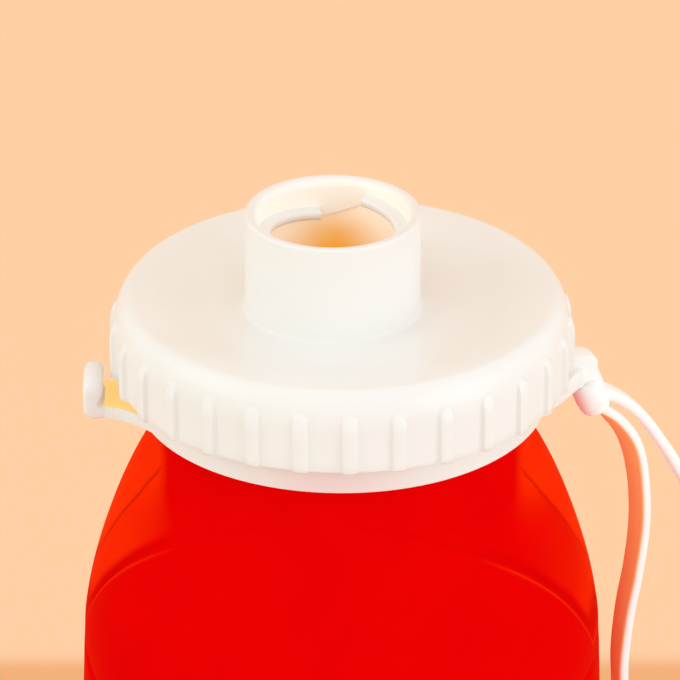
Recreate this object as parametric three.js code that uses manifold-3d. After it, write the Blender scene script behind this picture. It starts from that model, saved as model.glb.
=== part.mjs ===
// A collapsible water bottle: red silicone body with curved fold lines, a rigid neck with a
// hook and a strap lug, a ribbed screw cap with an open spout, and a flat wrist strap.
// Millimetres, +Z up. The bottle stands on z = 0, its axis is Z and the strap lug points to +X.

import * as THREE from 'three';
import { mergeVertices } from 'three/addons/utils/BufferGeometryUtils.js';
import Module from 'manifold-3d';

const wasm = await Module();
wasm.setup();

// Gap between pieces that touch
const FIT_GAP = 0.3;

// Silicone body, from the floor up
const BODY_RADIUS = 39.4;
const BODY_WALL = 2.8;
const BASE_HEIGHT = 10;
const BASE_ROUNDING = 6.9;
const BASE_FLOOR = 3.4;
const FOOT_WIDTH = 5;
const FOOT_RECESS = 1.2;
const LOWER_WALL_HEIGHT = 68;
const UPPER_WALL_HEIGHT = 60;
const SHOULDER_SKIRT_HEIGHT = 12;
const SHOULDER_HEIGHT = 31;
const SHOULDER_TAPER = 0.6;
const SHOULDER_LEDGE = 0.5;
const SHOULDER_ROUNDING = 1.33;
const WALL_FLARE = 0.042;
const NECK_RADIUS = 26.5;
const NECK_WALL = 2.6;
const NECK_EXPOSED_HEIGHT = 6.2;
const NECK_FILLET = 1.4;

// Fold lines: creases round the wall that rise and fall twice a turn, and one arc that frames
// the front and back panels of the shoulder
const PATTERN_TURN = THREE.MathUtils.degToRad(-11.8);
const CREASE_COUNT = 7;
const CREASE_RISE = 13.6;
const CREASE_SPACING = 3.6;
const CREASE_DEPTH = 0.9;
const CREASE_HALF_WIDTH = 1.5;
const CREASE_TOP_DROP = 3;
const ARC_REACH = 30.8;
const ARC_LEAN = 1.015;
const ARC_BOW = 0.0081;
const ARC_CLOSE = 0.8;

// Neck collar with thread core, hook and strap lug
const RING_WALL = 3.4;
const RING_HEIGHT = 4.5;
const RING_CHAMFER = 0.5;
const RING_LEDGE = 0.8;
const THREAD_CORE_HEIGHT = 4.8;
const HOOK_SLOT = 5.5;
const HOOK_FINGER = 2.2;
const HOOK_BEAD_RADIUS = 1.5;
const HOOK_WIDTH = 8;
const HOOK_ROOT_WIDTH = 23;
const HOOK_ARM = 1.9;
const HOOK_HEIGHT = 6.5;
const LUG_WEB = 0.7;
const LUG_BAR = 2.2;
const LUG_WIDTH = 7.8;
const LUG_ROOT_WIDTH = 23.4;
const LUG_SHOULDER_WIDTH = 18.2;
const LUG_SLOT_WIDTH = 5.2;
const LUG_SLOT_DEPTH = 2.5;
const LUG_HEIGHT = 2.9;

// Neck liner
const LINER_WALL = 1.8;
const LINER_DEPTH = 18;
const FLANGE_INSET = 0.4;
const FLANGE_THICKNESS = 1.4;

// Sealing ring
const GASKET_THICKNESS = 1.8;
const GASKET_WIDTH = 6.4;

// Screw cap
const THREAD_ROOM = 1.8;
const SKIRT_WALL = 2;
const CAP_EDGE_FILLET_WIDTH = 2.7;
const CAP_EDGE_FILLET_HEIGHT = 5.4;
const CAP_PLATE = 2.3;
const CAP_RIM_RISE = 1.2;
const CAP_DISH_RADIUS = 19.4;
const CAP_DISH_SLOPE = 9.6;
const RIB_COUNT = 30;
const RIB_WIDTH = 1.95;
const RIB_PROUD = 0.8;
const RIB_HEIGHT = 8.9;
const RIB_TURN = THREE.MathUtils.degToRad(-5.4);

// Spout, set off the cap's axis, with two ramps in its bore for a quarter-turn stopper
const SPOUT_RADIUS = 12.7;
const SPOUT_WALL = 1.9;
const SPOUT_HEIGHT = 14.9;
const SPOUT_FILLET = 1;
const SPOUT_LIP_ROUNDING = 0.4;
const SPOUT_SHIFT_X = -1.6;
const SPOUT_SHIFT_Y = -2.25;
const RAMP_COUNT = 2;
const RAMP_DEPTH = 2;
const RAMP_THICKNESS = 1.7;
const RAMP_BELOW_RIM = 1.8;
const RAMP_DROP = 2.6;
const RAMP_START = THREE.MathUtils.degToRad(55.7);
const RAMP_SPAN = THREE.MathUtils.degToRad(-142);

// Strap
const STRAP_WIDTH = 4.5;
const STRAP_THICKNESS = 1.3;
const CINCH_WIDTH = 7;
const CINCH_HEIGHT = 3.8;

// Heights and radii that follow from the sizes above
const lowerWallZ = BASE_HEIGHT;
const upperWallZ = lowerWallZ + LOWER_WALL_HEIGHT;
const shoulderZ = upperWallZ + UPPER_WALL_HEIGHT;
const shoulderFootZ = shoulderZ + SHOULDER_SKIRT_HEIGHT;
const neckFootZ = shoulderFootZ + SHOULDER_HEIGHT;
const ringZ = neckFootZ + NECK_EXPOSED_HEIGHT;
const ringTopZ = ringZ + RING_HEIGHT;
const skirtZ = ringTopZ + FIT_GAP;
const neckTopZ = ringTopZ + THREAD_CORE_HEIGHT;
const flangeZ = neckTopZ + FIT_GAP;
const gasketZ = flangeZ + FLANGE_THICKNESS + FIT_GAP;
const plateZ = gasketZ + GASKET_THICKNESS + FIT_GAP;
const dishZ = plateZ + CAP_PLATE;
const capEdgeZ = dishZ + CAP_RIM_RISE;
const spoutTopZ = dishZ + SPOUT_HEIGHT;
const footRadius = BODY_RADIUS - BASE_ROUNDING;
const shoulderFootRadius = BODY_RADIUS - SHOULDER_TAPER;
const shoulderTopRadius = NECK_RADIUS + SHOULDER_LEDGE;
const neckBore = NECK_RADIUS - NECK_WALL;
const linerRadius = neckBore - FIT_GAP;
const linerBore = linerRadius - LINER_WALL;
const collarBore = NECK_RADIUS + FIT_GAP;
const ringRadius = collarBore + RING_WALL;
const threadCoreRadius = ringRadius - RING_LEDGE;
const hookReach = ringRadius + HOOK_SLOT + HOOK_FINGER;
const lugReach = ringRadius + LUG_WEB + LUG_SLOT_DEPTH + LUG_BAR;
const flangeRadius = threadCoreRadius - FLANGE_INSET;
const skirtBore = threadCoreRadius + THREAD_ROOM;
const skirtRadius = skirtBore + SKIRT_WALL;
const spoutBore = SPOUT_RADIUS - SPOUT_WALL;
const creaseTopZ = shoulderFootZ - CREASE_TOP_DROP;

const BODY_SEGMENTS = 52;
const RING_SEGMENTS = 60;
const SPOUT_SEGMENTS = 36;

const lerp = THREE.MathUtils.lerp;
const clamp = THREE.MathUtils.clamp;

// A closed mesh made into a solid that can be joined and cut.
function solid( geometry ) {

	const bare = geometry.index ? geometry.toNonIndexed() : geometry.clone();
	bare.deleteAttribute( 'normal' );
	bare.deleteAttribute( 'uv' );
	const merged = mergeVertices( bare, 1e-4 );
	const index = merged.index.array;
	const kept = [];
	for ( let i = 0; i < index.length; i += 3 ) {

		const [ a, b, c ] = [ index[ i ], index[ i + 1 ], index[ i + 2 ] ];
		if ( a !== b && b !== c && c !== a ) kept.push( a, b, c );

	}

	return new wasm.Manifold( new wasm.Mesh( {
		numProp: 3,
		vertProperties: new Float32Array( merged.attributes.position.array ),
		triVerts: new Uint32Array( kept ),
	} ) );

}

function addMesh( group, name, body, material ) {

	const result = body.getMesh();
	const geometry = new THREE.BufferGeometry();
	geometry.setAttribute( 'position', new THREE.BufferAttribute( new Float32Array( result.vertProperties ), 3 ) );
	geometry.setIndex( new THREE.BufferAttribute( new Uint32Array( result.triVerts ), 1 ) );
	geometry.computeVertexNormals();
	const mesh = new THREE.Mesh( geometry, material );
	mesh.name = name;
	group.add( mesh );

}

// A turned form whose rows may rise and fall round the axis. Each row gives a radius and a height
// for an angle, and the rows run out along the underside, up the outside and back down the inside.
function turned( rows, segments ) {

	const blank = rows.map( ( row, j ) => new THREE.Vector2( 1, j ) );
	const geometry = new THREE.LatheGeometry( blank, segments );
	const position = geometry.attributes.position;
	for ( let i = 0; i <= segments; i ++ ) {

		const angle = ( i % segments ) * 2 * Math.PI / segments;
		rows.forEach( ( row, j ) => {

			const [ radius, height ] = typeof row === 'function' ? row( angle ) : row;
			position.setXYZ( i * rows.length + j, radius * Math.cos( angle ), radius * Math.sin( angle ), height );

		} );

	}

	return solid( geometry );

}

function slab( low, high ) {

	const reach = 2 * BODY_RADIUS + 2 * hookReach;
	const box = new THREE.BoxGeometry( reach, reach, high - low );
	box.translate( 0, 0, ( low + high ) / 2 );
	return solid( box );

}

// A flat outline raised from one height to another.
function raised( shape, low, high, curveSegments = 5 ) {

	const geometry = new THREE.ExtrudeGeometry( shape, { depth: high - low, bevelEnabled: false, curveSegments } );
	geometry.translate( 0, 0, low );
	return solid( geometry );

}

// An outline drawn in the X-Z plane, with its thickness centred across Y.
function upright( shape, width, curveSegments = 4 ) {

	const geometry = new THREE.ExtrudeGeometry( shape, { depth: width, bevelEnabled: false, curveSegments } );
	geometry.translate( 0, 0, - width / 2 );
	geometry.rotateX( Math.PI / 2 );
	return solid( geometry );

}

function roundedRectangle( x0, y0, x1, y1, radius, path = new THREE.Shape() ) {

	path.moveTo( x0 + radius, y0 );
	path.lineTo( x1 - radius, y0 );
	path.absarc( x1 - radius, y0 + radius, radius, - Math.PI / 2, 0 );
	path.lineTo( x1, y1 - radius );
	path.absarc( x1 - radius, y1 - radius, radius, 0, Math.PI / 2 );
	path.lineTo( x0 + radius, y1 );
	path.absarc( x0 + radius, y1 - radius, radius, Math.PI / 2, Math.PI );
	path.lineTo( x0, y0 + radius );
	path.absarc( x0 + radius, y0 + radius, radius, Math.PI, 1.5 * Math.PI );
	return path;

}

// Outside radius of the body at a height, before the fold lines are pressed in
function bodyRadius( z ) {

	if ( z < shoulderFootZ ) return Math.min( BODY_RADIUS, shoulderFootRadius + WALL_FLARE * ( shoulderFootZ - z ) );
	const t = clamp( ( neckFootZ - z ) / SHOULDER_HEIGHT, 0, 1 );
	const bulge = Math.pow( 1 - Math.pow( 1 - t, SHOULDER_ROUNDING ), 1 / SHOULDER_ROUNDING );
	return lerp( shoulderTopRadius, shoulderFootRadius, bulge );

}

// How far an angle lies towards the front or back: 1 there and 0 at the sides
const frontness = ( angle ) => Math.sin( angle - PATTERN_TURN ) ** 2;

// Crease lines alternate, so that lens-shaped panels lie between them at the front and the sides.
function creaseZ( k, angle ) {

	const weight = k % 2 === 0 ? frontness( angle ) : 1 - frontness( angle );
	return creaseTopZ - k * ( CREASE_RISE + CREASE_SPACING ) - CREASE_RISE * weight;

}

// How near the arc over the front and back panels has come to the neck: 1 at the front and back
const arcClosing = ( angle ) => frontness( angle ) ** 6;

// The arc leans from the neck down to the sides.
function arcZ( angle ) {

	const across = Math.sqrt( frontness( angle ) );
	let low = creaseZ( 0, angle ) + CREASE_SPACING;
	let high = neckFootZ - ARC_CLOSE;
	for ( let i = 0; i < 24; i ++ ) {

		const z = ( low + high ) / 2;
		const drop = neckFootZ - z;
		const reach = ARC_REACH - ARC_LEAN * drop + ARC_BOW * drop * drop;
		if ( bodyRadius( z ) * across > reach ) low = z;
		else high = z;

	}

	return lerp( ( low + high ) / 2, neckFootZ - ARC_CLOSE, arcClosing( angle ) );

}

const onBody = ( height, depth = () => 0 ) => ( angle ) => {

	const z = height( angle );
	return [ bodyRadius( z ) - depth( angle ), z ];

};

const between = ( low, high, share ) => onBody( ( angle ) => lerp( low( angle ), high( angle ), share ) );

// Three rows that press one fold line into the wall
const groove = ( height, half = () => CREASE_HALF_WIDTH, depth = () => CREASE_DEPTH ) => [
	onBody( ( angle ) => height( angle ) - half( angle ) ),
	onBody( height, depth ),
	onBody( ( angle ) => height( angle ) + half( angle ) ),
];

// The arc's groove narrows and fades where it comes up to the neck.
const arcHalf = ( angle ) => lerp( CREASE_SPACING / 4, ARC_CLOSE / 2, arcClosing( angle ) );
const arcDepth = ( angle ) => CREASE_DEPTH * lerp( 0.8, 0.1, frontness( angle ) ** 3 );

function siliconeBody() {

	const rows = [ [ 0, FOOT_RECESS ], [ footRadius - FOOT_WIDTH - FOOT_RECESS, FOOT_RECESS ], [ footRadius - FOOT_WIDTH, 0 ] ];
	for ( let i = 0; i <= 4; i ++ ) {

		const turn = i / 4 * Math.PI / 2;
		rows.push( [ lerp( footRadius, BODY_RADIUS, Math.sin( turn ) ), BASE_HEIGHT * ( 1 - Math.cos( turn ) ) ] );

	}

	for ( let k = CREASE_COUNT - 1; k >= 0; k -- ) rows.push( ...groove( ( angle ) => creaseZ( k, angle ) ) );
	const panelLow = ( angle ) => creaseZ( 0, angle ) + CREASE_HALF_WIDTH;
	const panelHigh = ( angle ) => arcZ( angle ) - arcHalf( angle );
	for ( const share of [ 0.3, 0.55, 0.75, 0.9 ] ) rows.push( between( panelLow, panelHigh, share ) );
	rows.push( ...groove( arcZ, arcHalf, arcDepth ) );
	const sideLow = ( angle ) => arcZ( angle ) + arcHalf( angle );
	const neckFoot = () => neckFootZ;
	for ( const share of [ 0.2, 0.45, 0.7, 0.88 ] ) rows.push( between( sideLow, neckFoot, share ) );
	rows.push( onBody( neckFoot ), [ NECK_RADIUS + NECK_FILLET * 0.15, neckFootZ + NECK_FILLET * 0.6 ] );
	rows.push( [ NECK_RADIUS, neckFootZ + NECK_FILLET * 1.6 ] );
	rows.push( [ NECK_RADIUS, neckTopZ ], [ neckBore, neckTopZ ] );
	const innerTopZ = neckFootZ - BODY_WALL;
	rows.push( [ neckBore, innerTopZ ] );
	for ( let i = 1; i <= 4; i ++ ) {

		const z = lerp( innerTopZ, shoulderFootZ, i / 4 );
		rows.push( [ bodyRadius( z ) - BODY_WALL, z ] );

	}

	rows.push( [ bodyRadius( shoulderZ ) - BODY_WALL, shoulderZ ], [ BODY_RADIUS - BODY_WALL, BASE_HEIGHT ] );
	rows.push( [ footRadius, BASE_FLOOR + FOOT_RECESS ], [ 0, BASE_FLOOR + FOOT_RECESS ] );
	return turned( rows, BODY_SEGMENTS );

}

function neckLiner() {

	const low = flangeZ - LINER_DEPTH;
	const high = flangeZ + FLANGE_THICKNESS;
	return turned( [
		[ linerBore, low ], [ linerRadius, low ], [ linerRadius, flangeZ ], [ flangeRadius, flangeZ ],
		[ flangeRadius, high ], [ linerBore, high ], [ linerBore, low ],
	], RING_SEGMENTS );

}

function gasket() {

	const outer = flangeRadius;
	const inner = flangeRadius - GASKET_WIDTH;
	const high = gasketZ + GASKET_THICKNESS;
	return turned( [ [ inner, gasketZ ], [ outer, gasketZ ], [ outer, high ], [ inner, high ], [ inner, gasketZ ] ], RING_SEGMENTS );

}

// Where a piece of this width starts inside the collar's ring
function rootReach( width ) {

	return Math.sqrt( threadCoreRadius ** 2 - ( width / 2 ) ** 2 );

}

function hook() {

	const root = rootReach( HOOK_ROOT_WIDTH );
	const flare = ringRadius + ( hookReach - HOOK_FINGER - ringRadius ) * 0.7;
	const plan = new THREE.Shape();
	plan.moveTo( - root, - HOOK_ROOT_WIDTH / 2 );
	plan.quadraticCurveTo( - ringRadius, - HOOK_WIDTH / 2, - flare, - HOOK_WIDTH / 2 );
	plan.lineTo( - hookReach + HOOK_FINGER / 2, - HOOK_WIDTH / 2 );
	plan.quadraticCurveTo( - hookReach, - HOOK_WIDTH / 2, - hookReach, - HOOK_WIDTH / 2 + HOOK_FINGER / 2 );
	plan.lineTo( - hookReach, HOOK_WIDTH / 2 - HOOK_FINGER / 2 );
	plan.quadraticCurveTo( - hookReach, HOOK_WIDTH / 2, - hookReach + HOOK_FINGER / 2, HOOK_WIDTH / 2 );
	plan.lineTo( - flare, HOOK_WIDTH / 2 );
	plan.quadraticCurveTo( - ringRadius, HOOK_WIDTH / 2, - root, HOOK_ROOT_WIDTH / 2 );
	plan.closePath();
	const arm = raised( plan, ringZ, ringZ + HOOK_ARM );
	const face = new THREE.Shape();
	const half = HOOK_WIDTH / 2;
	const corner = HOOK_WIDTH / 4;
	face.moveTo( - half, ringZ );
	face.lineTo( half, ringZ );
	face.lineTo( half, ringZ + HOOK_HEIGHT - corner );
	face.absarc( half - corner, ringZ + HOOK_HEIGHT - corner, corner, 0, Math.PI / 2 );
	face.absarc( corner - half, ringZ + HOOK_HEIGHT - corner, corner, Math.PI / 2, Math.PI );
	face.closePath();
	const blade = new THREE.ExtrudeGeometry( face, { depth: HOOK_FINGER, bevelEnabled: false, curveSegments: 6 } );
	blade.rotateX( Math.PI / 2 );
	blade.rotateZ( Math.PI / 2 );
	blade.translate( - hookReach, 0, 0 );
	const bead = new THREE.CylinderGeometry( HOOK_BEAD_RADIUS, HOOK_BEAD_RADIUS, HOOK_WIDTH - corner, 14 );
	bead.translate( HOOK_BEAD_RADIUS - hookReach, 0, ringZ + HOOK_HEIGHT - HOOK_BEAD_RADIUS );
	return arm.add( solid( blade ) ).add( solid( bead ) );

}

function lug() {

	const root = rootReach( LUG_ROOT_WIDTH );
	const middle = ( root + lugReach ) / 2;
	const half = LUG_WIDTH / 2;
	const corner = LUG_BAR / 2;
	const plan = new THREE.Shape();
	plan.moveTo( root, - LUG_ROOT_WIDTH / 2 );
	plan.quadraticCurveTo( middle, - LUG_SHOULDER_WIDTH / 2, lugReach - corner, - half );
	plan.quadraticCurveTo( lugReach, - half, lugReach, corner - half );
	plan.lineTo( lugReach, half - corner );
	plan.quadraticCurveTo( lugReach, half, lugReach - corner, half );
	plan.quadraticCurveTo( middle, LUG_SHOULDER_WIDTH / 2, root, LUG_ROOT_WIDTH / 2 );
	plan.closePath();
	const slotEnd = lugReach - LUG_BAR;
	const slot = roundedRectangle( slotEnd - LUG_SLOT_DEPTH, - LUG_SLOT_WIDTH / 2, slotEnd, LUG_SLOT_WIDTH / 2, 0.5, new THREE.Path() );
	plan.holes.push( slot );
	return raised( plan, ringZ, ringZ + LUG_HEIGHT );

}

function neckCollar() {

	const ring = turned( [
		[ collarBore, ringZ ], [ ringRadius - RING_CHAMFER, ringZ ], [ ringRadius, ringZ + RING_CHAMFER ],
		[ ringRadius, ringTopZ - RING_CHAMFER ], [ ringRadius - RING_CHAMFER, ringTopZ ], [ threadCoreRadius, ringTopZ ],
		[ threadCoreRadius, neckTopZ - RING_CHAMFER ], [ threadCoreRadius - RING_CHAMFER, neckTopZ ],
		[ collarBore, neckTopZ ], [ collarBore, ringZ ],
	], RING_SEGMENTS );
	return ring.add( hook() ).add( lug() );

}

function gripRib( turn ) {

	const half = RIB_WIDTH / 2;
	const face = new THREE.Shape();
	face.moveTo( - half, 0 );
	face.lineTo( half, 0 );
	face.lineTo( half, RIB_HEIGHT - half );
	face.absarc( 0, RIB_HEIGHT - half, half, 0, Math.PI );
	face.closePath();
	const depth = RIB_PROUD + SKIRT_WALL / 2;
	const bar = new THREE.ExtrudeGeometry( face, { depth, bevelEnabled: false, curveSegments: 3 } );
	bar.rotateX( Math.PI / 2 );
	bar.translate( 0, - skirtRadius + SKIRT_WALL / 2, skirtZ );
	bar.rotateZ( turn );
	return solid( bar );

}

// A ledge that climbs round the spout's bore: a straight bar bent on to the helix.
function stopperRamp( start ) {

	const section = new THREE.Shape();
	const inner = spoutBore - RAMP_DEPTH;
	const outer = spoutBore + SPOUT_WALL / 2;
	const round = RAMP_THICKNESS / 3;
	section.moveTo( outer, 0 );
	section.lineTo( outer, RAMP_THICKNESS );
	section.lineTo( inner + round, RAMP_THICKNESS );
	section.quadraticCurveTo( inner, RAMP_THICKNESS, inner, RAMP_THICKNESS - round );
	section.lineTo( inner, round );
	section.quadraticCurveTo( inner, 0, inner + round, 0 );
	section.closePath();
	const bar = new THREE.ExtrudeGeometry( section, { depth: 1, steps: 14, bevelEnabled: false, curveSegments: 2 } );
	const position = bar.attributes.position;
	const topZ = spoutTopZ - RAMP_BELOW_RIM - RAMP_THICKNESS;
	for ( let i = 0; i < position.count; i ++ ) {

		const along = position.getZ( i );
		const radius = position.getX( i );
		const angle = start + RAMP_SPAN * along;
		const height = topZ + position.getY( i ) - RAMP_DROP * along;
		position.setXYZ( i, radius * Math.cos( angle ), radius * Math.sin( angle ), height );

	}

	return solid( bar );

}

function spoutPost() {

	const lip = SPOUT_LIP_ROUNDING;
	const rows = [ [ 0, plateZ + CAP_PLATE / 2 ], [ SPOUT_RADIUS + SPOUT_FILLET, plateZ + CAP_PLATE / 2 ] ];
	for ( let i = 0; i <= 3; i ++ ) {

		const turn = i / 3 * Math.PI / 2;
		rows.push( [ SPOUT_RADIUS + SPOUT_FILLET * ( 1 - Math.sin( turn ) ), dishZ + SPOUT_FILLET * ( 1 - Math.cos( turn ) ) ] );

	}

	for ( let i = 0; i <= 5; i ++ ) {

		const middle = i < 3 ? SPOUT_RADIUS - lip : spoutBore + lip;
		const turn = ( i < 3 ? i / 2 : 1 + ( i - 3 ) / 2 ) * Math.PI / 2;
		rows.push( [ middle + lip * Math.cos( turn ), spoutTopZ - lip + lip * Math.sin( turn ) ] );

	}

	rows.push( [ spoutBore, dishZ ], [ 0, dishZ ] );
	return turned( rows, SPOUT_SEGMENTS );

}

function capShell() {

	const rows = [ [ 0, plateZ ], [ skirtBore, plateZ ], [ skirtBore, skirtZ ], [ skirtRadius, skirtZ ] ];
	for ( let i = 0; i <= 6; i ++ ) {

		const turn = i / 6 * Math.PI / 2;
		rows.push( [
			skirtRadius - CAP_EDGE_FILLET_WIDTH * ( 1 - Math.cos( turn ) ),
			capEdgeZ - CAP_EDGE_FILLET_HEIGHT * ( 1 - Math.sin( turn ) ),
		] );

	}

	rows.push( [ CAP_DISH_RADIUS + CAP_DISH_SLOPE, capEdgeZ ], [ CAP_DISH_RADIUS, dishZ ], [ 0, dishZ ] );
	let shell = turned( rows, RING_SEGMENTS );
	for ( let i = 0; i < RIB_COUNT; i ++ ) shell = shell.add( gripRib( RIB_TURN + i * 2 * Math.PI / RIB_COUNT ) );
	const bore = new THREE.CylinderGeometry( spoutBore, spoutBore, 4 * CAP_PLATE, SPOUT_SEGMENTS );
	bore.rotateX( Math.PI / 2 );
	bore.rotateZ( Math.PI / 2 );
	let spout = spoutPost();
	for ( let i = 0; i < RAMP_COUNT; i ++ ) spout = spout.add( stopperRamp( RAMP_START + i * 2 * Math.PI / RAMP_COUNT ) );
	const shift = [ SPOUT_SHIFT_X, SPOUT_SHIFT_Y, 0 ];
	return shell.add( spout.translate( shift ) ).subtract( solid( bore.translate( 0, 0, dishZ ) ).translate( shift ) );

}

// Middle line of the hanging loop, as distance out from the lug's end and height over the ring's lower edge
const STRAP_ROUTE = [
	[ 1.4, - 2.1 ], [ 4.4, - 2.7 ], [ 8.7, - 6.1 ], [ 12.1, - 10.9 ], [ 14.8, - 15.5 ], [ 18.6, - 23.2 ],
	[ 22.4, - 35.2 ], [ 25.2, - 50.2 ], [ 26.2, - 66.5 ], [ 25.8, - 83.2 ], [ 23.2, - 97.2 ], [ 18.4, - 104.8 ],
	[ 13.2, - 103.2 ], [ 10.6, - 93.2 ], [ 9.3, - 79.2 ], [ 8.3, - 65.2 ], [ 7.6, - 53.2 ], [ 7.5, - 47.5 ],
	[ 8.1, - 40.0 ], [ 9.0, - 34.0 ], [ 9.7, - 26.5 ], [ 9.6, - 20.5 ], [ 8.8, - 14.5 ], [ 7.4, - 10.2 ],
	[ 5.0, - 6.8 ], [ 2.0, - 4.0 ],
];

function strap() {

	const barLow = ringZ;
	const barHigh = ringZ + LUG_HEIGHT;
	const barIn = lugReach - LUG_BAR;
	const wrap = FIT_GAP + STRAP_THICKNESS;
	const ring = roundedRectangle( barIn - wrap, barLow - wrap, lugReach + wrap, barHigh + wrap, wrap );
	ring.holes.push( roundedRectangle( barIn - FIT_GAP, barLow - FIT_GAP, lugReach + FIT_GAP, barHigh + FIT_GAP, FIT_GAP, new THREE.Path() ) );
	const cinchMiddle = lugReach + STRAP_THICKNESS / 2;
	const cinchHalf = 2 * STRAP_THICKNESS;
	const cinchTop = barLow - FIT_GAP - STRAP_THICKNESS / 2;
	const cinch = roundedRectangle( cinchMiddle - cinchHalf, cinchTop - CINCH_HEIGHT, cinchMiddle + cinchHalf, cinchTop, 1.2 );
	const route = new THREE.SplineCurve( STRAP_ROUTE.map( ( [ out, up ] ) => new THREE.Vector2( lugReach + out, ringZ + up ) ) );
	const steps = 40;
	const outside = [];
	const inside = [];
	for ( let i = 0; i <= steps; i ++ ) {

		const point = route.getPointAt( i / steps );
		const along = route.getTangentAt( i / steps );
		const across = new THREE.Vector2( - along.y, along.x ).multiplyScalar( STRAP_THICKNESS / 2 );
		outside.push( point.clone().add( across ) );
		inside.push( point.clone().sub( across ) );

	}

	const band = new THREE.Shape( outside.concat( inside.reverse() ) );
	return upright( ring, STRAP_WIDTH ).add( upright( cinch, CINCH_WIDTH ) ).add( upright( band, STRAP_WIDTH ) );

}

const silicone = new THREE.MeshStandardMaterial( { color: 0xe4120a, roughness: 0.42, metalness: 0 } );
const whitePlastic = new THREE.MeshStandardMaterial( { color: 0xf5f0e6, roughness: 0.38, metalness: 0 } );
const collarPlastic = new THREE.MeshStandardMaterial( { color: 0xf3eee4, roughness: 0.4, metalness: 0 } );
const sealSilicone = new THREE.MeshStandardMaterial( { color: 0xe9e6df, roughness: 0.55, metalness: 0 } );
const strapSilicone = new THREE.MeshStandardMaterial( { color: 0xf8f3ec, roughness: 0.5, metalness: 0 } );

const bottle = new THREE.Group();
const body = siliconeBody();
addMesh( bottle, 'body_base', body.intersect( slab( - 1, lowerWallZ - FIT_GAP / 2 ) ), silicone );
addMesh( bottle, 'body_wall_lower', body.intersect( slab( lowerWallZ + FIT_GAP / 2, upperWallZ - FIT_GAP / 2 ) ), silicone );
addMesh( bottle, 'body_wall_upper', body.intersect( slab( upperWallZ + FIT_GAP / 2, shoulderZ - FIT_GAP / 2 ) ), silicone );
addMesh( bottle, 'body_shoulder', body.intersect( slab( shoulderZ + FIT_GAP / 2, neckTopZ + 1 ) ), silicone );
addMesh( bottle, 'neck_liner', neckLiner(), collarPlastic );
addMesh( bottle, 'neck_collar', neckCollar(), collarPlastic );
addMesh( bottle, 'cap_gasket', gasket(), sealSilicone );
addMesh( bottle, 'cap_shell', capShell(), whitePlastic );
addMesh( bottle, 'strap', strap(), strapSilicone );

export default bottle;
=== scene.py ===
from math import asin, atan2, copysign, cos, degrees, exp, hypot, pi, radians, sin, sqrt, tau
import bmesh
import bpy
from mathutils import Matrix, Vector


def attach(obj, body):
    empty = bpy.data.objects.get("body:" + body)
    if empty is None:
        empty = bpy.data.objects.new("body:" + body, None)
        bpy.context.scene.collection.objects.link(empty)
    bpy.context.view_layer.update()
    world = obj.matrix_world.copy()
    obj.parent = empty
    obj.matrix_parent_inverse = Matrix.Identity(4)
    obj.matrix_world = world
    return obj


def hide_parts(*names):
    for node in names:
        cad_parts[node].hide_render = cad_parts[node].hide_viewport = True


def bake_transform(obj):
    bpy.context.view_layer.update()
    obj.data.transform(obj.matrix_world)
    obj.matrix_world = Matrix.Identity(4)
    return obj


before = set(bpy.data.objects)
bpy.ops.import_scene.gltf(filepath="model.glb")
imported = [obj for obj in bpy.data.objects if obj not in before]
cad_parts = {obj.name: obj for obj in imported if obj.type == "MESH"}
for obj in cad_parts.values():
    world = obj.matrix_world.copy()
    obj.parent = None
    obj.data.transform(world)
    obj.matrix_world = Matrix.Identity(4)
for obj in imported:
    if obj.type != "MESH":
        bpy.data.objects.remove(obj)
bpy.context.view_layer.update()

scene = bpy.context.scene
scene.view_settings.view_transform = "Standard"
mm = 0.001
skyward = Vector((0, 0, 1))
print("frame loaded:", ", ".join(sorted(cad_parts)))


def lerp(a, b, t):
    return a + (b - a) * t


def smooth(low, high, x):  # 0 at low, 1 at high, eased between them; low may be the greater
    t = min(1.0, max(0.0, (x - low) / (high - low)))
    return t * t * (3 - 2 * t)


def along(stops, x, eased=True):  # a value read off a short list of (place, value) pairs
    for (x0, v0), (x1, v1) in zip(stops, stops[1:]):
        if x <= x1:
            return lerp(v0, v1, smooth(x0, x1, x) if eased else max(0.0, (x - x0) / (x1 - x0)))
    return stops[-1][1]


def hump(share):  # 0 at both ends, 1 in the middle
    return 4 * share * (1 - share)


def bowed(a, b, c, t):  # from a to c, drawn towards b
    return lerp(lerp(a, b, t), lerp(b, c, t), t)


# camera: long lens, 27 degrees down, a little to the hook's side of the front
shot = dict(turn=-7.3, down=27.437, distance=0.6, sensor=36, focus=4106.1 / 680, aimZ=0.195777, aside=-0.000265)
turn = radians(shot["turn"])
right = Vector((cos(turn), sin(turn), 0))
ahead = Vector((-sin(turn), cos(turn), 0))
down = radians(shot["down"])
aim = skyward * shot["aimZ"] + right * shot["aside"]
back = -ahead * cos(down) + skyward * sin(down)
cameraData = bpy.data.cameras.new("photoCamera")
cameraData.sensor_width = shot["sensor"]
cameraData.lens = shot["sensor"] * shot["focus"]
camera = bpy.data.objects.new("photoCamera", cameraData)
camera.location = aim + back * shot["distance"]
camera.rotation_mode = "QUATERNION"
camera.rotation_quaternion = (-back).to_track_quat("-Z", "Y")
scene.collection.objects.link(camera)
scene.camera = camera
print("camera set")


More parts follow.
